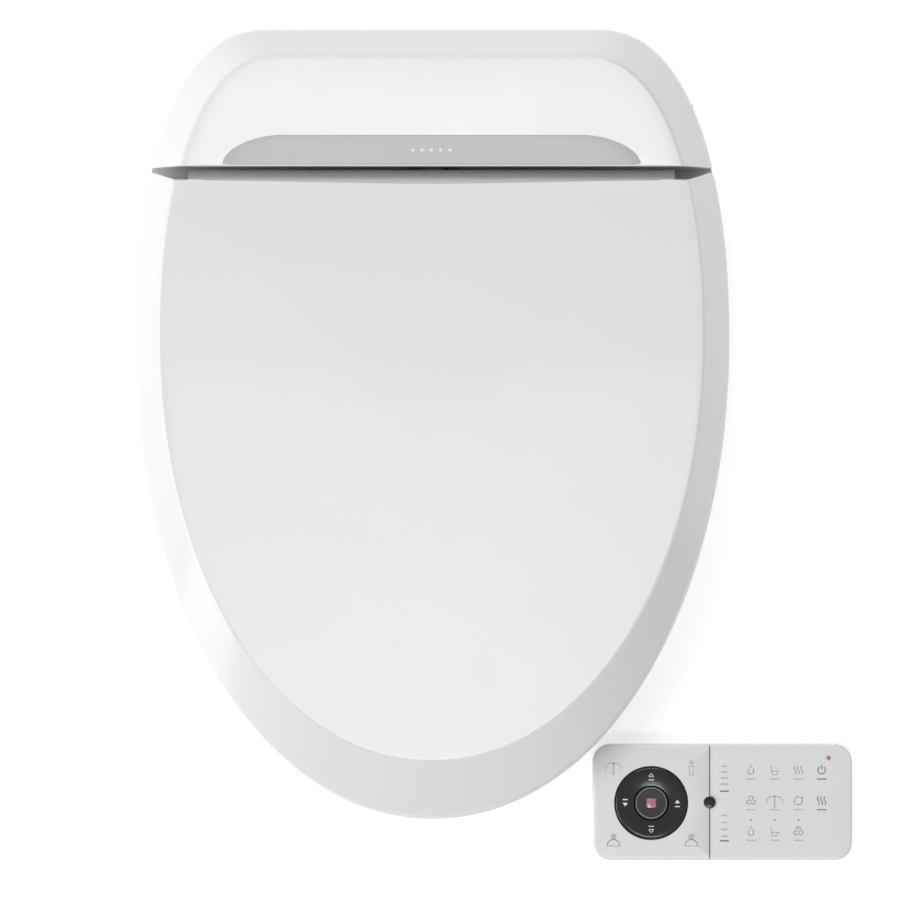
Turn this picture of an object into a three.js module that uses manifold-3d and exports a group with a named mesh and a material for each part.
// Electric bidet seat with its lid, seat ring, rear housing and wireless remote.
// Millimetres, +Z up, +Y towards the rear of the bowl, +X to the right.
// The origin is the middle of the mounting bracket's underside, on the bowl's rim plane.

import * as THREE from 'three';
import { LoftGeometry } from 'three/addons/geometries/LoftGeometry.js';
import { mergeVertices } from 'three/addons/utils/BufferGeometryUtils.js';
import Module from 'manifold-3d';

const wasm = await Module();
wasm.setup();

// ---------- driving dimensions ----------

const WIDTH = 390;            // across the widest place of lid and seat
const LENGTH = 516;           // rear face to front tip
const REAR_Y = 60;            // rear face of the housing
const WIDEST_Y = -142;        // where the plan is widest
const REAR_FLAT = 214;        // straight part of the rear edge
const FRONT_POWER = 2.05;     // roundness of the front half
const REAR_POWER_X = 2.33;    // roundness of the rear corners across
const REAR_POWER_Y = 2.2;     // roundness of the rear corners along

const GAP = 0.4;              // between pieces that touch
const RUN = 2.5;              // between pieces that swing past each other
const WALL = 3;               // moulded shells

const HINGE_Y = -60;          // hinge line of seat and lid
const HINGE_Z = 75;
const LUG_R = 12;             // hinge lugs and bosses
const PIN_R = 4;              // hinge pins
const DAMPER_R = 7.6;         // soft-close dampers
const BARREL_R = 29.7;        // round rear edge of the lid, about the hinge line
const LID_LUG_X = 100;        // inner face of each lid lug
const BOSS_X = 118;           // inner face of each boss on the base
const SEAT_LUG_X = 146;       // inner face of each seat lug
const LUG_W = 14;             // width of a seat or lid lug
const BOSS_W = 24;            // width of a boss on the base

const HOUSING_FRONT = -29.5;  // straight front edge of the rear cover
const BASE_FRONT = -76;       // front wall of the base, under the hinge
const COVER_FRONT_Z = 104;    // top of the cover at its front edge
const COVER_REAR_Z = 120;     // top of the cover at its rear bevel
const COVER_BEVEL = 18.6;     // wide bevel round the cover
const COVER_SIDE_Z = 66;      // top of the cover's side wall at the front
const COVER_BACK_Z = 92;      // top of the cover's rear wall
const BASE_TOP = 40;          // joint of base and cover

const LID_REAR_Z = 98;        // top of the lid at its rear edge
const LID_FRONT_Z = 52;       // top of the lid at its front bevel
const LID_BEVEL = 18;         // side bevel of the lid
const LID_TIP_BEVEL = 39;     // front bevel of the lid
const LID_RIM_REAR_Z = 52;    // lower edge of the lid at the hinge
const LID_RIM_TIP_Z = 30;     // lower edge of the lid at the tip
const LID_EDGE = 9;           // upright edge under the bevel
const LINER_T = 2.4;          // inner panel of the lid
const LINER_RISE = 3;         // its underside above the lid's lower edge
const LINER_REAR = -106;      // rear edge of the inner panel, in front of the seat's arms

const SEAT_DROP = 2;          // seat top below the lid's lower edge
const SEAT_INSET = 3;         // seat outline inside the lid's
const SEAT_BOTTOM = 8;        // underside of the ring
const SEAT_PLATE = 2.5;       // bottom shell
const OPENING_W = 212;        // hole in the ring
const OPENING_REAR = -116;    // rear end of the hole
const FRONT_LAND = 78;        // ring in front of the hole
const BRIDGE_Z = 35;          // underside of the ring behind the hole
const BRIDGE_Y = -119;        // the ring is solid behind this line
const BRIDGE_HALF = 99;       // half-width of the raised part over the nozzle
const BUMPER_R = 9;
const BUMPER_FRONT = { fromTip: 48, x: 66 };
const BUMPER_REAR = { y: -170, fromSide: 45 };
const LID_BUMPER = { fromTip: 126, fromSide: 77, radius: 6 };

const BRACKET = { width: 212, depth: 62, thickness: 10, floor: 4, bolts: 140, slot: 34, bolt: 8.5 };
const SLIDER = { length: 40, depth: 24, thickness: 2.2, play: 10 };

const NOZZLE_R = 7.5;
const NOZZLE_TILT = 15 * Math.PI / 180;
const NOZZLE_RISE = 11.2;     // nozzle's axis at its mouth, above the base's floor
const NOZZLE_L = 120;
const NOSE_SLOT = 17;         // half-width of the slot over the nozzle
const TIP_L = 24;
const RACK = { module: 1.2, teeth: 17, first: 56, height: 5 };
const PINION = { teeth: 14, at: 62, backlash: 0.25 };

const REMOTE = { length: 171, width: 76.5, height: 20, corner: 11.5, wall: 2 };
const REMOTE_CLEAR = 4.2;     // between the lid's outline and the remote's corner
const REMOTE_BEARING = 57.5;  // place on the front outline that the corner faces, in degrees
const REMOTE_SEAM = -8.5;     // seam of the two faces, from the remote's middle
const DIAL = { x: -46.9, y: -0.5, radius: 23.6, button: 10.8 };
const BATTERY = { radius: 7.2, length: 50 };

// ---------- solids ----------

function solid(geometry) {
  const bare = new THREE.BufferGeometry();
  bare.setAttribute('position', geometry.getAttribute('position'));
  bare.setIndex(geometry.index);
  const merged = mergeVertices(bare, 1e-4);
  return new wasm.Manifold(new wasm.Mesh({
    numProp: 3,
    vertProperties: new Float32Array(merged.attributes.position.array),
    triVerts: new Uint32Array(merged.index.array),
  }));
}

const cut = (body, ...tools) => tools.reduce((left, tool) => left.subtract(tool), body);
const join = (body, ...others) => others.reduce((left, other) => left.add(other), body);
const common = (body, tool) => body.intersect(tool);

function geometryOf(body) {
  const mesh = body.getMesh();
  const geometry = new THREE.BufferGeometry();
  geometry.setAttribute('position', new THREE.BufferAttribute(mesh.vertProperties, 3));
  geometry.setIndex(new THREE.BufferAttribute(mesh.triVerts, 1));
  const flat = geometry.toNonIndexed();
  flat.computeVertexNormals();
  return flat;
}

// A box from its low corner to its high corner.
function box([x0, y0, z0], [x1, y1, z1]) {
  const geometry = new THREE.BoxGeometry(x1 - x0, y1 - y0, z1 - z0);
  geometry.translate((x0 + x1) / 2, (y0 + y1) / 2, (z0 + z1) / 2);
  return solid(geometry);
}

// Round bars along each axis, from one end to the other.
function barX(radius, x0, x1, y, z, sides = 24) {
  const geometry = new THREE.CylinderGeometry(radius, radius, x1 - x0, sides);
  geometry.rotateZ(Math.PI / 2);
  geometry.translate((x0 + x1) / 2, y, z);
  return solid(geometry);
}

function barY(radius, y0, y1, x, z, sides = 20) {
  const geometry = new THREE.CylinderGeometry(radius, radius, y1 - y0, sides);
  geometry.translate(x, (y0 + y1) / 2, z);
  return solid(geometry);
}

function barZ(radius, z0, z1, x, y, sides = 24, topRadius = radius) {
  const geometry = new THREE.CylinderGeometry(topRadius, radius, z1 - z0, sides);
  geometry.rotateX(Math.PI / 2);
  geometry.translate(x, y, (z0 + z1) / 2);
  return solid(geometry);
}

// An outline in the side view (y, z), drawn out along X.
function sideExtrusion(points, x0, x1) {
  const shape = new THREE.Shape(points.map(([y, z]) => new THREE.Vector2(y, z)));
  const geometry = new THREE.ExtrudeGeometry(shape, { depth: x1 - x0, bevelEnabled: false });
  const turn = new THREE.Matrix4().makeBasis(
    new THREE.Vector3(0, 1, 0), new THREE.Vector3(0, 0, 1), new THREE.Vector3(1, 0, 0));
  geometry.applyMatrix4(turn);
  geometry.translate(x0, 0, 0);
  return solid(geometry);
}

// A slab with round corners, standing on z0.
function slab(length, width, corner, x, y, z0, z1, taper = 0) {
  const outline = (inset) => {
    const points = [];
    const half = [length / 2 - corner, width / 2 - corner];
    const radius = corner - inset;
    const centres = [[1, -1], [1, 1], [-1, 1], [-1, -1]];
    centres.forEach(([sx, sy], quarter) => {
      for (let step = 0; step <= 5; step++) {
        const angle = (quarter - 1 + step / 5) * Math.PI / 2;
        points.push([x + sx * half[0] + radius * Math.cos(angle),
          y + sy * half[1] + radius * Math.sin(angle)]);
      }
    });
    return points;
  };
  const rings = [[0, z0], [0, z1 - taper]];
  if (taper > 0) rings.push([taper, z1]);
  return stack(rings.map(([inset, z]) => outline(inset).map(([px, py]) => new THREE.Vector3(px, py, z))));
}

// A solid through closed sections, lowest first.
function stack(sections) {
  return solid(new LoftGeometry(sections, { capStart: true, capEnd: true }));
}

// Two of the same, left and right.
const pair = (make) => join(make(1), make(-1));
const span = (side, near, far) => (side > 0 ? [near, far] : [-far, -near]);

// ---------- the plan ----------

const TIP_Y = REAR_Y - LENGTH;
const FRONT_STEPS = 13;
const REAR_STEPS = 10;

// One corner of the rear half, from the angle `from` to the straight rear edge.
function rearCorner(inset, from = 0) {
  const flat = REAR_FLAT / 2 - inset * 0.55;
  const reachX = WIDTH / 2 - inset - flat;
  const reachY = REAR_Y - inset - WIDEST_Y;
  const points = [];
  for (let step = 0; step <= REAR_STEPS; step++) {
    const angle = from + (Math.PI / 2 - from) * step / REAR_STEPS;
    const across = Math.max(Math.cos(angle), 0) ** (2 / REAR_POWER_X);
    const along = Math.sin(angle) ** (2 / REAR_POWER_Y);
    points.push([flat + reachX * across, WIDEST_Y + reachY * along]);
  }
  return points;
}

// The whole outline, inset at its sides and, more or less, at its tip.
function plan(inset, tipInset = inset) {
  const half = [];
  const reachX = WIDTH / 2 - inset;
  const reachY = WIDEST_Y - TIP_Y - tipInset;
  for (let step = 1; step < FRONT_STEPS; step++) {
    const angle = Math.PI / 2 * (1 - step / FRONT_STEPS);
    const across = Math.cos(angle) ** (2 / FRONT_POWER);
    const along = Math.sin(angle) ** (2 / FRONT_POWER);
    half.push([reachX * across, WIDEST_Y - reachY * along]);
  }
  half.push(...rearCorner(inset));
  const left = half.map(([x, y]) => [-x, y]).reverse();
  return [[0, TIP_Y + tipInset], ...half, ...left];
}

// Middle of the remote: its rear left corner just clears the lid's outline.
function remotePlace() {
  const angle = THREE.MathUtils.degToRad(REMOTE_BEARING);
  const reach = new THREE.Vector2(WIDTH / 2, WIDEST_Y - TIP_Y);
  const across = Math.cos(angle) ** (2 / FRONT_POWER);
  const along = Math.sin(angle) ** (2 / FRONT_POWER);
  const outward = new THREE.Vector2(across ** (FRONT_POWER - 1) / reach.x,
    -(along ** (FRONT_POWER - 1)) / reach.y).normalize();
  const corner = new THREE.Vector2(reach.x * across, WIDEST_Y - reach.y * along)
    .addScaledVector(outward, REMOTE.corner + REMOTE_CLEAR);
  const toMiddle = new THREE.Vector2(REMOTE.length / 2 - REMOTE.corner,
    REMOTE.corner - REMOTE.width / 2);
  return corner.add(toMiddle);
}

// The outline behind a straight front edge.
function rearPlan(inset, frontY) {
  const share = (frontY - WIDEST_Y) / (REAR_Y - inset - WIDEST_Y);
  const from = Math.asin(share ** (REAR_POWER_Y / 2));
  const half = rearCorner(inset, from);
  return [...half, ...half.map(([x, y]) => [-x, y]).reverse()];
}

const slope = (y0, z0, y1, z1) => (y) => z0 + (y - y0) * (z1 - z0) / (y1 - y0);
const lift = (outline, height) => outline.map(([x, y]) => new THREE.Vector3(x, y, height(y)));
const level = (z) => () => z;
const lowered = (height, drop) => (y) => height(y) - drop;

const lidTop = slope(HINGE_Y, LID_REAR_Z - 2.3, TIP_Y + LID_TIP_BEVEL, LID_FRONT_Z);
const lidRim = slope(HINGE_Y, LID_RIM_REAR_Z, TIP_Y, LID_RIM_TIP_Z);
const seatTop = lowered(lidRim, SEAT_DROP);
const coverTop = slope(HOUSING_FRONT, COVER_FRONT_Z, REAR_Y - COVER_BEVEL, COVER_REAR_Z);
const coverSide = slope(HOUSING_FRONT, COVER_SIDE_Z, REAR_Y, COVER_BACK_Z);

// Everything within a radius of the hinge line.
const aroundHinge = (radius, sides = 48) =>
  barX(radius, -WIDTH, WIDTH, HINGE_Y, HINGE_Z, sides);
const behind = (y) => box([-WIDTH, y, -50], [WIDTH, y + 2 * LENGTH, 400]);

// ---------- materials ----------

const finish = (color, roughness, metalness = 0) =>
  new THREE.MeshStandardMaterial({ color, roughness, metalness });
const WHITE = finish(0xeeeeec, 0.28);
const WARM_WHITE = finish(0xe6e6e2, 0.4);
const GREY = finish(0x9a9ba0, 0.4);
const SILVER = finish(0xc8c9cc, 0.35, 0.2);
const INNER = finish(0x6f747a, 0.6);
const RUBBER = finish(0x8b8d90, 0.8);
const STEEL = finish(0xb8bcc0, 0.3, 0.9);
const BRASS = finish(0xb99a5b, 0.35, 0.9);
const BOARD = finish(0x1f6a45, 0.6);
const BLACK = finish(0x121214, 0.2);
const FOIL = finish(0xb87b4b, 0.4, 0.7);
const LAMP = finish(0xc24a5c, 0.3);
const CELL = finish(0x35578f, 0.45);

const model = new THREE.Group();

function add(name, body, material, group = model) {
  const mesh = new THREE.Mesh(geometryOf(body), material);
  mesh.name = name;
  group.add(mesh);
}

// ---------- lid ----------

// The lid's outer form, or its inside when a wall is taken off.
function lidForm(wall, bottom) {
  return stack([
    lift(plan(wall), lowered(lidRim, bottom)),
    lift(plan(wall), lowered(lidRim, wall - LID_EDGE)),
    lift(plan(wall + 1.5), lowered(lidRim, wall - LID_EDGE - 3)),
    lift(plan(LID_BEVEL + wall * 0.4, LID_TIP_BEVEL + wall * 0.2), lowered(lidTop, wall + 1.2)),
    lift(plan(LID_BEVEL + 4 + wall * 0.4, LID_TIP_BEVEL + 5 + wall * 0.2), lowered(lidTop, wall)),
  ]);
}

// Keeps what lies in front of the hinge line or within a radius of it.
function inFrontOrRound(body, radius) {
  const front = cut(body, behind(HINGE_Y));
  return join(front, common(cut(body, box([-WIDTH, -LENGTH, -50], [WIDTH, HINGE_Y, 400])),
    aroundHinge(radius)));
}

function lidLugs() {
  return pair((side) => {
    const [x0, x1] = span(side, LID_LUG_X, LID_LUG_X + LUG_W);
    const web = sideExtrusion([
      [HINGE_Y - LUG_R, HINGE_Z], [HINGE_Y + LUG_R, HINGE_Z],
      [HINGE_Y + 9, lidTop(HINGE_Y) - WALL + 1], [HINGE_Y - 26, lidTop(HINGE_Y - 26) - WALL + 1],
    ], x0, x1);
    const boss = barX(LUG_R, x0, x1, HINGE_Y, HINGE_Z);
    return cut(join(boss, web), barX(PIN_R + 0.3, x0 - 1, x1 + 1, HINGE_Y, HINGE_Z, 20));
  });
}

function lidShell() {
  const roundEnds = pair((side) => {
    const [x0, x1] = span(side, 140, WIDTH / 2);
    const disc = barX(BARREL_R - 1.2, x0, x1, HINGE_Y, HINGE_Z, 48);
    const outline = stack([lift(plan(0), level(0)), lift(plan(0), lidTop)]);
    const inside = stack([lift(plan(WALL), level(-1)), lift(plan(WALL), lowered(lidTop, -1))]);
    return cut(common(disc, outline), inside);
  });
  const skin = cut(lidForm(0, 0), lidForm(WALL, 1));
  const discs = common(roundEnds, lidForm(0, LID_RIM_REAR_Z));
  return join(inFrontOrRound(skin, BARREL_R), discs, lidLugs());
}

function lidLiner() {
  const inset = WALL + GAP;
  const panel = stack([
    lift(plan(inset), lowered(lidRim, -LINER_RISE)),
    lift(plan(inset), lowered(lidRim, -LINER_RISE - LINER_T)),
  ]);
  return cut(panel, behind(LINER_REAR));
}

// Round strip that closes the lid's rear edge.
function hingeBarrel() {
  const start = 46;
  const end = 14;
  const points = [];
  for (let step = 0; step <= 6; step++) {
    const angle = THREE.MathUtils.degToRad(start + (end - start) * step / 6);
    points.push([HINGE_Y + BARREL_R * Math.cos(angle), HINGE_Z + BARREL_R * Math.sin(angle)]);
  }
  for (let step = 6; step >= 0; step--) {
    const angle = THREE.MathUtils.degToRad(start + (end - start) * step / 6);
    const inner = BARREL_R - 2.4;
    points.push([HINGE_Y + inner * Math.cos(angle), HINGE_Z + inner * Math.sin(angle)]);
  }
  return sideExtrusion(points.reverse(), -158, 158);
}

add('lid_shell', lidShell(), WHITE);
add('lid_liner', lidLiner(), WARM_WHITE);
add('lid_hinge_barrel', cut(hingeBarrel(), cut(lidForm(-GAP, 0), lidForm(WALL + GAP, 1))), GREY);
[-1, 1].forEach((side) => {
  const name = side < 0 ? 'lid_bumper_left' : 'lid_bumper_right';
  const x = side * (WIDTH / 2 - LID_BUMPER.fromSide);
  const y = TIP_Y + LID_BUMPER.fromTip;
  const top = lidRim(y) + LINER_RISE - 2 * GAP;
  add(name, barZ(LID_BUMPER.radius, seatTop(y) + 2 * GAP, top, x, y, 16), RUBBER);
});

// ---------- seat ring ----------

function openingRing(grow, z) {
  const length = OPENING_REAR - TIP_Y - FRONT_LAND;
  const middle = OPENING_REAR - length / 2;
  const points = [];
  for (let step = 0; step < 36; step++) {
    const angle = step / 36 * 2 * Math.PI;
    const power = 2 / 2.25;
    const across = Math.sign(Math.cos(angle)) * Math.abs(Math.cos(angle)) ** power;
    const along = Math.sign(Math.sin(angle)) * Math.abs(Math.sin(angle)) ** power;
    const y = middle + (length / 2 + grow) * along;
    points.push(new THREE.Vector3((OPENING_W / 2 + grow) * across, y, z(y)));
  }
  return points;
}

// The hole through the ring, flared at its top.
function openingForm(grow) {
  return stack([
    openingRing(grow, level(-30)),
    openingRing(grow, lowered(seatTop, 9 + grow)),
    openingRing(grow + 8, lowered(seatTop, -0.5)),
    openingRing(grow + 8, lowered(seatTop, -20)),
  ]);
}

function seatForm(wall, bottom) {
  const inset = SEAT_INSET + wall;
  return stack([
    lift(plan(inset), level(bottom)),
    lift(plan(inset), lowered(seatTop, 9 + wall * 0.5)),
    lift(plan(inset + 4), lowered(seatTop, 2.5 + wall)),
    lift(plan(inset + 11), lowered(seatTop, wall)),
  ]);
}

// What the ring leaves free for the base, its bosses and the lid's lugs.
function seatClearance() {
  const rear = BASE_FRONT - RUN + 0.5;
  const bosses = pair((side) => {
    const [x0, x1] = span(side, LID_LUG_X - RUN, BOSS_X + BOSS_W + RUN);
    return box([x0, BASE_FRONT - 12, -1], [x1, REAR_Y, 200]);
  });
  return [behind(rear), aroundHinge(BARREL_R + RUN), bosses];
}

function seatTopShell() {
  const hollow = cut(seatForm(WALL, -1), openingForm(WALL), behind(BRIDGE_Y));
  const underBridge = box([-BRIDGE_HALF, BRIDGE_Y - WALL, -1], [BRIDGE_HALF, REAR_Y, BRIDGE_Z]);
  const ring = cut(seatForm(0, SEAT_BOTTOM), openingForm(0), hollow, underBridge,
    ...seatClearance());
  const lugs = pair((side) => {
    const [x0, x1] = span(side, SEAT_LUG_X, SEAT_LUG_X + LUG_W);
    const arm = sideExtrusion([
      [HINGE_Y, HINGE_Z + LUG_R], [HINGE_Y - 6, HINGE_Z + LUG_R - 1], [-100, 49], [-116, 44],
      [-116, 30], [-88, 30], [HINGE_Y - 8, HINGE_Z - 11], [HINGE_Y, HINGE_Z - LUG_R],
    ], x0, x1);
    const lug = barX(LUG_R, x0, x1, HINGE_Y, HINGE_Z);
    return cut(join(arm, lug), barX(PIN_R + 0.3, x0 - 1, x1 + 1, HINGE_Y, HINGE_Z, 20));
  });
  return join(ring, common(lugs, seatForm(0, -1).add(aroundHinge(BARREL_R + RUN + 6))));
}

function seatRingPlate(inset, z0, z1) {
  const plate = stack([
    lift(plan(SEAT_INSET + inset), z0),
    lift(plan(SEAT_INSET + inset), z1),
  ]);
  const hole = stack([openingRing(inset, level(-30)), openingRing(inset, level(90))]);
  return cut(plate, hole, behind(BRIDGE_Y - 1));
}

add('seat_top_shell', seatTopShell(), WHITE);
add('seat_bottom_shell',
  seatRingPlate(WALL + GAP, level(SEAT_BOTTOM), level(SEAT_BOTTOM + SEAT_PLATE)), WARM_WHITE);
add('seat_heater',
  seatRingPlate(22, lowered(seatTop, WALL + 1.6), lowered(seatTop, WALL + 0.8)), FOIL);
[['left', -1], ['right', 1]].forEach(([hand, side]) => {
  const places = [
    ['front', side * BUMPER_FRONT.x, TIP_Y + BUMPER_FRONT.fromTip],
    ['rear', side * (WIDTH / 2 - BUMPER_REAR.fromSide), BUMPER_REAR.y],
  ];
  places.forEach(([end, x, y]) => add(`seat_bumper_${end}_${hand}`,
    barZ(BUMPER_R - 1, 0, SEAT_BOTTOM - GAP, x, y, 16, BUMPER_R), RUBBER));
});

// ---------- rear cover and its panel ----------

function coverForm(wall, bottom, frontY) {
  return stack([
    lift(rearPlan(wall, frontY), level(bottom)),
    lift(rearPlan(wall, frontY), lowered(coverSide, wall * 0.5)),
    lift(rearPlan(wall + 2, frontY), lowered(coverSide, wall * 0.5 - 3.5)),
    lift(rearPlan(COVER_BEVEL - 3 + wall * 0.5, frontY), lowered(coverTop, wall + 1)),
    lift(rearPlan(COVER_BEVEL + wall * 0.5, frontY), lowered(coverTop, wall)),
  ]);
}

// The display strip's outline on the cover's front edge, grown by a gap.
function panelForm(grow, top) {
  const outline = [
    [-136 - grow, HOUSING_FRONT + 0.8 - grow], [136 + grow, HOUSING_FRONT + 0.8 - grow],
    [128 + grow, -20], [116, -13 + grow], [97, -9.5 + grow],
    [-97, -9.5 + grow], [-116, -13 + grow], [-128 - grow, -20],
  ];
  return stack([lift(outline, lowered(coverTop, 2 + grow)), lift(outline, lowered(coverTop, top))]);
}

function rearCover() {
  const outer = cut(coverForm(0, BASE_TOP, HOUSING_FRONT), aroundHinge(BARREL_R + RUN + 1));
  const inner = cut(coverForm(WALL, BASE_TOP - 1, HOUSING_FRONT + WALL),
    aroundHinge(BARREL_R + RUN + 1 + WALL));
  const nozzleWay = box([-NOSE_SLOT, HOUSING_FRONT - 1, BASE_TOP - 1],
    [NOSE_SLOT, HOUSING_FRONT + WALL + 1, BASE_TOP + 11]);
  return cut(outer, inner, nozzleWay, panelForm(GAP, -20));
}

const lampSlot = box([-16 - GAP, -21.2, 0], [16 + GAP, -17.2, 200]);

add('rear_cover', rearCover(), WHITE);
add('display_panel', cut(panelForm(0, 0), lampSlot), SILVER);
add('indicator_lens',
  common(panelForm(-GAP, 0), box([-16, -20.8, 0], [16, -17.6, 200])), LAMP);

// ---------- base ----------

const BASE_BOTTOM = BRACKET.thickness + GAP;
const FLOOR_Z = BASE_BOTTOM + WALL + GAP;      // what stands inside the base stands here
const NOZZLE_Z = FLOOR_Z + NOZZLE_RISE;
const CARTRIDGE = { x0: -174, x1: -126, y0: -24, y1: 6, z0: FLOOR_Z + 1.2, z1: FLOOR_Z + 21.2 };
const RELEASE = { x0: 150, x1: 172, y0: -2, y1: 14, z0: FLOOR_Z + 4.2, z1: FLOOR_Z + 16.2 };
const DUCT = { x: 62, width: 26, z0: FLOOR_Z + 1.2, z1: FLOOR_Z + 16.2, wall: 1.6 };
const INLET = { x: -132, y: 27, radius: 8 };
const GLAND = { x: 92, z: FLOOR_Z + 12, radius: 6 };

function boss(side) {
  const [x0, x1] = span(side, BOSS_X, BOSS_X + BOSS_W);
  const web = sideExtrusion([
    [HINGE_Y - 11, HINGE_Z - 5], [HINGE_Y - 16, HINGE_Z - 22], [HINGE_Y - 16, BASE_TOP - 6],
    [HINGE_Y - 2, BASE_TOP - 6], [HINGE_Y - 3, HINGE_Z - 30], [HINGE_Y - 3, HINGE_Z - 20],
    [HINGE_Y + 7, HINGE_Z - 9],
  ], x0, x1);
  const round = barX(LUG_R, x0, x1, HINGE_Y, HINGE_Z);
  return cut(join(web, round), barX(DAMPER_R + GAP, x0 - 1, x1 + 1, HINGE_Y, HINGE_Z, 24));
}

function baseTray() {
  const top = BASE_TOP - GAP;
  const outer = stack([
    lift(rearPlan(1, BASE_FRONT), level(BASE_BOTTOM)),
    lift(rearPlan(0, BASE_FRONT), level(BASE_BOTTOM + 3)),
    lift(rearPlan(0, BASE_FRONT), level(top)),
  ]);
  const deep = stack([
    lift(rearPlan(WALL, HOUSING_FRONT + WALL), level(BASE_BOTTOM + WALL)),
    lift(rearPlan(WALL, HOUSING_FRONT + WALL), level(top + 5)),
  ]);
  const underDeck = stack([
    lift(rearPlan(WALL, BASE_FRONT + WALL), level(BASE_BOTTOM + WALL)),
    lift(rearPlan(WALL, BASE_FRONT + WALL), level(top - WALL)),
  ]);
  const noseSlot = box([-NOSE_SLOT, BASE_FRONT + WALL, 20],
    [NOSE_SLOT, HOUSING_FRONT + WALL + 1, top + 5]);
  const nozzleHole = nozzleTool(NOZZLE_R + 1.2, -20, 40);
  const openings = [
    box([CARTRIDGE.x0 - 40, CARTRIDGE.y0 - 0.6, CARTRIDGE.z0 - 0.6],
      [CARTRIDGE.x1, CARTRIDGE.y1 + 0.6, CARTRIDGE.z1 + 0.6]),
    box([RELEASE.x0, RELEASE.y0 - 0.6, RELEASE.z0 - 0.6],
      [RELEASE.x1 + 40, RELEASE.y1 + 0.6, RELEASE.z1 + 0.6]),
    box([DUCT.x - DUCT.width / 2 - GAP, BASE_FRONT - 5, DUCT.z0 - GAP],
      [DUCT.x + DUCT.width / 2 + GAP, BASE_FRONT + 10, DUCT.z1 + GAP]),
    barZ(INLET.radius + GAP, 0, BASE_BOTTOM + 2 * WALL, INLET.x, INLET.y),
    barY(GLAND.radius + GAP, REAR_Y - 10, REAR_Y + 10, GLAND.x, GLAND.z),
  ];
  const shell = cut(outer, deep, underDeck, noseSlot, nozzleHole, ...openings);
  return join(shell, boss(1), boss(-1));
}

// A round bar on the nozzle's slanted axis, from one distance behind its mouth to another.
function nozzleTool(radius, from, to) {
  const geometry = new THREE.CylinderGeometry(radius, radius, to - from, 24);
  geometry.translate(0, (from + to) / 2, 0);
  geometry.rotateX(NOZZLE_TILT);
  geometry.translate(0, BASE_FRONT, NOZZLE_Z);
  return solid(geometry);
}

function mountingBracket() {
  const { width, depth, thickness, floor, bolts, slot, bolt } = BRACKET;
  const plate = slab(width, depth, 8, 0, 0, 0, thickness);
  const tools = [-1, 1].flatMap((side) => {
    const x = side * bolts / 2;
    const reach = SLIDER.length / 2 + SLIDER.play;
    return [
      slab(slot, bolt, bolt / 2 - 0.01, x, 0, -1, thickness + 1),
      box([x - reach, -SLIDER.depth / 2 - GAP, floor],
        [x + reach, SLIDER.depth / 2 + GAP, thickness + 1]),
    ];
  });
  return cut(plate, ...tools);
}

function bracketSlider(side) {
  const x = side * BRACKET.bolts / 2;
  const low = BRACKET.floor + GAP;
  const plate = box([x - SLIDER.length / 2, -SLIDER.depth / 2, low],
    [x + SLIDER.length / 2, SLIDER.depth / 2, low + SLIDER.thickness]);
  return cut(plate, barZ(BRACKET.bolt / 2, -1, 20, x, 0));
}

add('base_tray', baseTray(), WHITE);
add('mounting_bracket', mountingBracket(), INNER);
add('bracket_slider_left', bracketSlider(-1), STEEL);
add('bracket_slider_right', bracketSlider(1), STEEL);

// ---------- hinge pins and dampers ----------

[['left', -1, 'lid_damper'], ['right', 1, 'seat_damper']].forEach(([hand, side, damper]) => {
  const [x0, x1] = span(side, LID_LUG_X - 3, SEAT_LUG_X + LUG_W + 3);
  add(`hinge_pin_${hand}`, barX(PIN_R, x0, x1, HINGE_Y, HINGE_Z, 20), STEEL);
  const [d0, d1] = span(side, BOSS_X + 0.5, BOSS_X + BOSS_W - 0.5);
  const body = barX(DAMPER_R, d0, d1, HINGE_Y, HINGE_Z, 24);
  add(damper, cut(body, barX(PIN_R + 0.3, d0 - 1, d1 + 1, HINGE_Y, HINGE_Z, 20)), INNER);
});

// ---------- nozzle, its cradle and drive: along +Y behind the mouth, before the tilt ----------

const nozzle = new THREE.Group();
nozzle.position.set(0, BASE_FRONT, NOZZLE_Z);
nozzle.rotation.x = NOZZLE_TILT;
model.add(nozzle);

const PITCH = Math.PI * RACK.module;
const PINION_R = PINION.teeth * RACK.module / 2;
const RACK_X = NOZZLE_R - 0.2;          // back of the rack, on the tube
const RACK_ROOT = RACK_X + 2.6;
const RACK_PITCH_X = RACK_ROOT + 1.3;
const PINION_X = RACK_PITCH_X + PINION_R + PINION.backlash;

function nozzleRack() {
  const points = [];
  const end = RACK.first + PITCH * RACK.teeth;
  points.push([RACK_X, RACK.first - PITCH / 2]);
  for (let tooth = 0; tooth < RACK.teeth; tooth++) {
    const middle = PINION.at + PITCH * (tooth - 1);
    points.push([RACK_ROOT, middle - 1.15], [RACK_ROOT + 2.3, middle - 0.45],
      [RACK_ROOT + 2.3, middle + 0.45], [RACK_ROOT, middle + 1.15]);
  }
  points.push([RACK_X, end - PITCH / 2]);
  const shape = new THREE.Shape(points.map(([x, y]) => new THREE.Vector2(x, y)));
  const geometry = new THREE.ExtrudeGeometry(shape, { depth: RACK.height, bevelEnabled: false });
  geometry.translate(0, 0, -RACK.height / 2);
  return cut(solid(geometry), barY(NOZZLE_R + GAP, 0, NOZZLE_L, 0, 0, 24));
}

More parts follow.
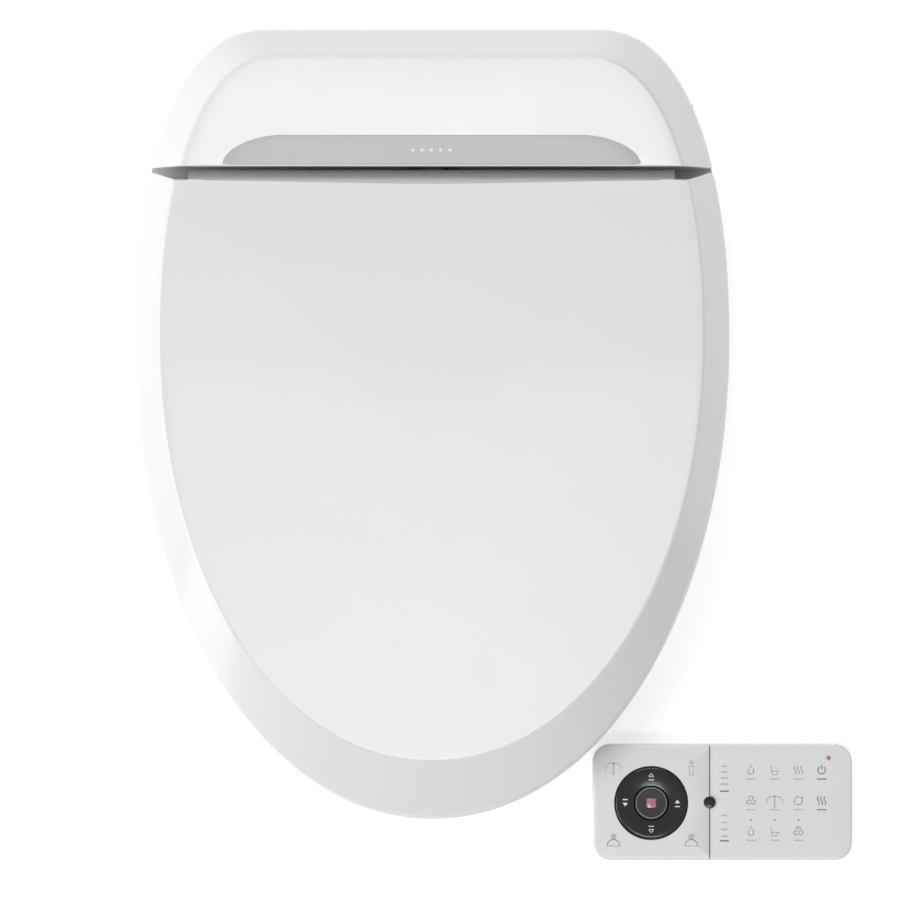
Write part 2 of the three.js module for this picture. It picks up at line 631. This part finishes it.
function nozzlePinion() {
  const points = [];
  const step = 2 * Math.PI / PINION.teeth;
  for (let tooth = 0; tooth < PINION.teeth; tooth++) {
    const middle = (tooth + 0.5) * step;
    [[PINION_R - 1.5, -0.27], [PINION_R + 0.9, -0.1], [PINION_R + 0.9, 0.1],
      [PINION_R - 1.5, 0.27]].forEach(([radius, share]) => {
      points.push(new THREE.Vector2(radius * Math.cos(middle + share * step),
        radius * Math.sin(middle + share * step)));
    });
  }
  const geometry = new THREE.ExtrudeGeometry(new THREE.Shape(points),
    { depth: 4, bevelEnabled: false });
  geometry.translate(PINION_X, PINION.at, -2);
  return cut(solid(geometry), barZ(2.3, -5, 5, PINION_X, PINION.at, 16));
}

function nozzleCradle() {
  const from = WALL + 3.5;
  const to = NOZZLE_L - 4;
  const low = NOZZLE_R + GAP;
  const floor = box([-11.5, from, -low - 2], [11.5, to, -low]);
  const left = box([-11.5, from, -low - 1], [-low - 0.4, to, 8.6]);
  const right = box([low + 0.4, from, -low - 1], [11.5, to, -RACK.height / 2 - 1.2]);
  const stop = box([-11.5, to - 0.5, -low - 2], [11.5, to + 3, -RACK.height / 2 - 1.2]);
  const foot = box([-9, 78, -24], [9, 92, -low - 1]);
  return join(floor, left, right, cut(stop, barY(NOZZLE_R + 1, to - 2, to + 5, 0, 0)), foot);
}

function nozzleTip() {
  const profile = [[0, 0.4], [4.2, 0.6], [6.3, 1.8], [NOZZLE_R, 4.6], [NOZZLE_R, TIP_L],
    [2.6, TIP_L], [2.6, 8], [0, 8]];
  const geometry = new THREE.LatheGeometry(
    profile.map(([radius, along]) => new THREE.Vector2(radius, along)), 24);
  const tip = solid(geometry);
  return cut(tip, barZ(1.1, 3, 10, 0, 12, 10), barZ(0.8, 3, 10, -2.6, 8, 8),
    barZ(0.8, 3, 10, 2.6, 8, 8));
}

add('nozzle_tip', nozzleTip(), WHITE, nozzle);
add('nozzle_tube', cut(barY(NOZZLE_R, TIP_L + GAP, NOZZLE_L, 0, 0, 24),
  barY(2.6, TIP_L - 1, NOZZLE_L + 1, 0, 0, 12)), WHITE, nozzle);
add('nozzle_rack', nozzleRack(), INNER, nozzle);
add('nozzle_pinion', nozzlePinion(), BRASS, nozzle);
add('nozzle_motor', join(
  barZ(10.5, -22, -4.6, PINION_X + 1, PINION.at + 0.5, 24),
  barZ(2, -5, 3, PINION_X, PINION.at, 16)), STEEL, nozzle);
add('nozzle_cradle', cut(nozzleCradle(), barZ(11, -30, -3, PINION_X + 1, PINION.at + 0.5, 24)),
  INNER, nozzle);
add('nozzle_hood', box([GAP - NOSE_SLOT, WALL + 4, 9.2], [NOSE_SLOT - GAP, 44, 11.2]), WHITE, nozzle);

// ---------- water side ----------

function waterHeater() {
  const tank = slab(78, 42, 8, -72, 24, BASE_TOP + 6, 98, 3);
  const domes = [-92, -52].map((x) => barZ(5, 97, 101, x, 24, 16));
  const spouts = barY(4, -4, 6, -60, 64, 16);
  const feet = [-104, -40].map((x) => box([x - 5, 25, FLOOR_Z], [x + 5, 40, BASE_TOP + 8]));
  return join(tank, ...domes, spouts, ...feet);
}

function inletValve() {
  const block = slab(26, 24, 5, INLET.x, INLET.y - 6, 40, 62, 2);
  return join(block, barZ(9, 61, 80, INLET.x, INLET.y - 6, 20));
}

function inletFitting() {
  const thread = barZ(INLET.radius, 1, FLOOR_Z + 6, INLET.x, INLET.y);
  const flange = barZ(11, FLOOR_Z, FLOOR_Z + 5, INLET.x, INLET.y, 6);
  const riser = barZ(6, 13, 40 - GAP, INLET.x, INLET.y - 2, 16);
  return cut(join(thread, flange, riser), barZ(4.5, -1, 14, INLET.x, INLET.y, 16));
}

add('water_heater', waterHeater(), WARM_WHITE);
add('inlet_valve', inletValve(), INNER);
add('water_inlet_fitting', inletFitting(), BRASS);

// ---------- air side ----------

const BLOWER = { x: 78, y: 14, radius: 28, z0: FLOOR_Z, z1: FLOOR_Z + 28 };
const FAN = { x: -100, y: 2, radius: 19, z0: FLOOR_Z, z1: FLOOR_Z + 20 };

function fanHousing(fan, mouth) {
  const outer = barZ(fan.radius, fan.z0, fan.z1, fan.x, fan.y, 32);
  const inner = barZ(fan.radius - 1.8, fan.z0 + 1.8, fan.z1 - 1.8, fan.x, fan.y, 32);
  return cut(outer, inner, barZ(mouth, fan.z1 - 3, fan.z1 + 1, fan.x, fan.y, 24));
}

function fanWheel(fan, mouth, blades) {
  const low = fan.z0 + 4;
  const high = fan.z1 - 3.4;
  const disc = barZ(fan.radius - 3.4, low, low + 1.4, fan.x, fan.y, 28);
  const hub = barZ(4, low, high, fan.x, fan.y, 14);
  const vanes = Array.from({ length: blades }, (_, index) => {
    const geometry = new THREE.BoxGeometry(fan.radius * 0.36, 1.2, high - low - 1);
    geometry.rotateZ(0.5);
    geometry.translate(fan.radius * 0.62, 0, (low + high) / 2 + 0.4);
    geometry.rotateZ(index / blades * 2 * Math.PI);
    geometry.translate(fan.x, fan.y, 0);
    return solid(geometry);
  });
  return join(disc, hub, ...vanes);
}

function dryerDuct() {
  const half = DUCT.width / 2;
  const y1 = BLOWER.y - BLOWER.radius - 1;
  const tube = box([DUCT.x - half, BASE_FRONT + 0.6, DUCT.z0], [DUCT.x + half, y1, DUCT.z1]);
  const bore = box([DUCT.x - half + DUCT.wall, BASE_FRONT - 1, DUCT.z0 + DUCT.wall],
    [DUCT.x + half - DUCT.wall, y1 + 1, DUCT.z1 - DUCT.wall]);
  const slats = [-1, 0, 1].map((row) => {
    const z = (DUCT.z0 + DUCT.z1) / 2 + row * 3.6;
    return box([DUCT.x - half + 1, BASE_FRONT + 1.6, z - 0.5], [DUCT.x + half - 1, BASE_FRONT + 6, z + 0.5]);
  });
  return join(cut(tube, bore), ...slats);
}

function cartridge() {
  const { x0, x1, y0, y1, z0, z1 } = CARTRIDGE;
  const tray = box([x0, y0, z0], [x1, y1, z1]);
  const bed = box([x0 + 4, y0 + 2.5, z0 + 3], [x1 - 3, y1 - 2.5, z1 + 1]);
  const grip = box([x0 - 1, (y0 + y1) / 2 - 8, z0 + 7], [x0 + 2, (y0 + y1) / 2 + 8, z0 + 12]);
  const ribs = [1, 2, 3].map((row) => {
    const x = x0 + 4 + (x1 - x0 - 7) * row / 4;
    return box([x - 0.8, y0 + 2, z0 + 2], [x + 0.8, y1 - 2, z1 - 2]);
  });
  return join(cut(tray, bed, grip), ...ribs);
}

add('blower_housing', fanHousing(BLOWER, 14), INNER);
add('blower_wheel', fanWheel(BLOWER, 14, 10), BLACK);
add('dryer_duct', dryerDuct(), INNER);
add('deodoriser_fan', fanHousing(FAN, 10), INNER);
add('deodoriser_wheel', fanWheel(FAN, 10, 8), BLACK);
add('deodoriser_cartridge', cartridge(), INNER);
add('release_button', join(
  box([RELEASE.x0, RELEASE.y0, RELEASE.z0], [RELEASE.x1, RELEASE.y1, RELEASE.z1]),
  box([RELEASE.x0 - 6, RELEASE.y0 + 4, RELEASE.z0 + 3], [RELEASE.x0 + 1, RELEASE.y1 - 4, RELEASE.z1 - 3])),
  GREY);

// ---------- electrics ----------

function circuitBoard([x0, y0, x1, y1], z, parts) {
  const plate = box([x0, y0, z], [x1, y1, z + 1.6]);
  return join(plate, ...parts.map(([x, y, w, d, h]) =>
    box([x - w / 2, y - d / 2, z + 1], [x + w / 2, y + d / 2, z + 1.6 + h])));
}

add('main_board', circuitBoard([2, -14, 112, 36], 78,
  [[20, 8, 14, 14, 3], [48, 20, 22, 10, 8], [78, 2, 16, 16, 4], [98, 24, 12, 12, 10]]), BOARD);
add('power_board', circuitBoard([112, -22, 152, 26], 46,
  [[124, 10, 14, 18, 14], [140, -8, 12, 12, 18], [122, -14, 10, 10, 8]]), BOARD);
add('power_inlet', join(
  barY(GLAND.radius, REAR_Y - 8, REAR_Y - 0.6, GLAND.x, GLAND.z),
  barY(GLAND.radius + 3, REAR_Y - 12, REAR_Y - WALL - GAP, GLAND.x, GLAND.z, 6)), BLACK);

// ---------- remote: its own frame, from the middle of its back ----------

const remote = new THREE.Group();
remote.position.set(remotePlace().x, remotePlace().y, 0);
model.add(remote);

const REMOTE_SPLIT = 9;      // joint of the front and back shells
const KEY_DROP = 0.9;        // key panel below the dial's face
const remoteSlab = (inset, z0, z1, taper = 0) => slab(REMOTE.length - 2 * inset,
  REMOTE.width - 2 * inset, REMOTE.corner - inset, 0, 0, z0, z1, taper);
const leftOf = (x) => box([-REMOTE.length, -REMOTE.width, -5], [x, REMOTE.width, 60]);
const rightOf = (x) => box([x, -REMOTE.width, -5], [REMOTE.length, REMOTE.width, 60]);
const DOOR = { x0: -4, y: 20, z1: 2.1, travel: 20 };
const WINDOW_R = 4;

function remoteBack() {
  const outer = remoteSlab(0, 0, REMOTE_SPLIT - GAP);
  const inner = remoteSlab(REMOTE.wall, 4, REMOTE_SPLIT + 5);
  const channel = box([DOOR.x0, -DOOR.y, -1], [REMOTE.length, DOOR.y, DOOR.z1 + 0.3]);
  const bay = box([0, -16, -1], [56, 16, 6]);
  return cut(outer, inner, channel, bay);
}

function remoteFace(keep, top) {
  const outer = common(remoteSlab(0, REMOTE_SPLIT, top, 2.4), keep);
  const inner = remoteSlab(REMOTE.wall, REMOTE_SPLIT - 1, top - REMOTE.wall, 1.5);
  return cut(outer, inner, barZ(WINDOW_R + 0.3, 5, 30, REMOTE_SEAM, 0, 20));
}

add('remote_back_shell', remoteBack(), WHITE, remote);
add('remote_front_shell', cut(remoteFace(leftOf(REMOTE_SEAM - 0.15), REMOTE.height),
  barZ(DIAL.radius + 0.8, 5, 30, DIAL.x, DIAL.y, 40)), WHITE, remote);
add('remote_key_panel', cut(remoteFace(rightOf(REMOTE_SEAM + 0.15), REMOTE.height - KEY_DROP),
  barZ(1.8, 5, 30, 69.9, 29.2, 12)), WHITE, remote);
add('ir_window', barZ(WINDOW_R, 12, REMOTE.height - 0.2, REMOTE_SEAM, 0, 20), BLACK, remote);
add('status_lamp', barZ(1.5, 14, REMOTE.height - KEY_DROP + 0.1, 69.9, 29.2, 12), LAMP, remote);
add('remote_board', cut(box([-80, -33, 4.4], [-4, 33, 6]),
  barZ(2, 0, 10, DIAL.x, DIAL.y, 12)), BOARD, remote);
add('dial_gimbal', cut(barZ(19, 9, 11.6, DIAL.x, DIAL.y, 28), barZ(13.4, 5, 20, DIAL.x, DIAL.y, 24)),
  INNER, remote);
add('direction_dial', cut(
  join(barZ(DIAL.radius, 14.5, REMOTE.height + 0.4, DIAL.x, DIAL.y, 40, DIAL.radius - 0.6),
    barZ(19, 13, 15, DIAL.x, DIAL.y, 28)),
  barZ(DIAL.button + 0.5, 5, 30, DIAL.x, DIAL.y, 28)), BLACK, remote);
add('stop_button', barZ(DIAL.button, 15.5, REMOTE.height + 0.9, DIAL.x, DIAL.y, 28), BLACK, remote);
[-1, 1].forEach((side) => {
  add(side < 0 ? 'battery_lower' : 'battery_upper',
    join(barX(BATTERY.radius, 3, 3 + BATTERY.length, side * 7.7, 2.6 + BATTERY.radius, 20),
      barX(2.6, 3 + BATTERY.length - 1, 5 + BATTERY.length, side * 7.7, 2.6 + BATTERY.radius, 12)),
    CELL, remote);
});
add('battery_door', box([DOOR.x0 + GAP, -DOOR.y + GAP, 0], [REMOTE.length / 2 - 1, DOOR.y - GAP, DOOR.z1]),
  WHITE, remote);

export default model;
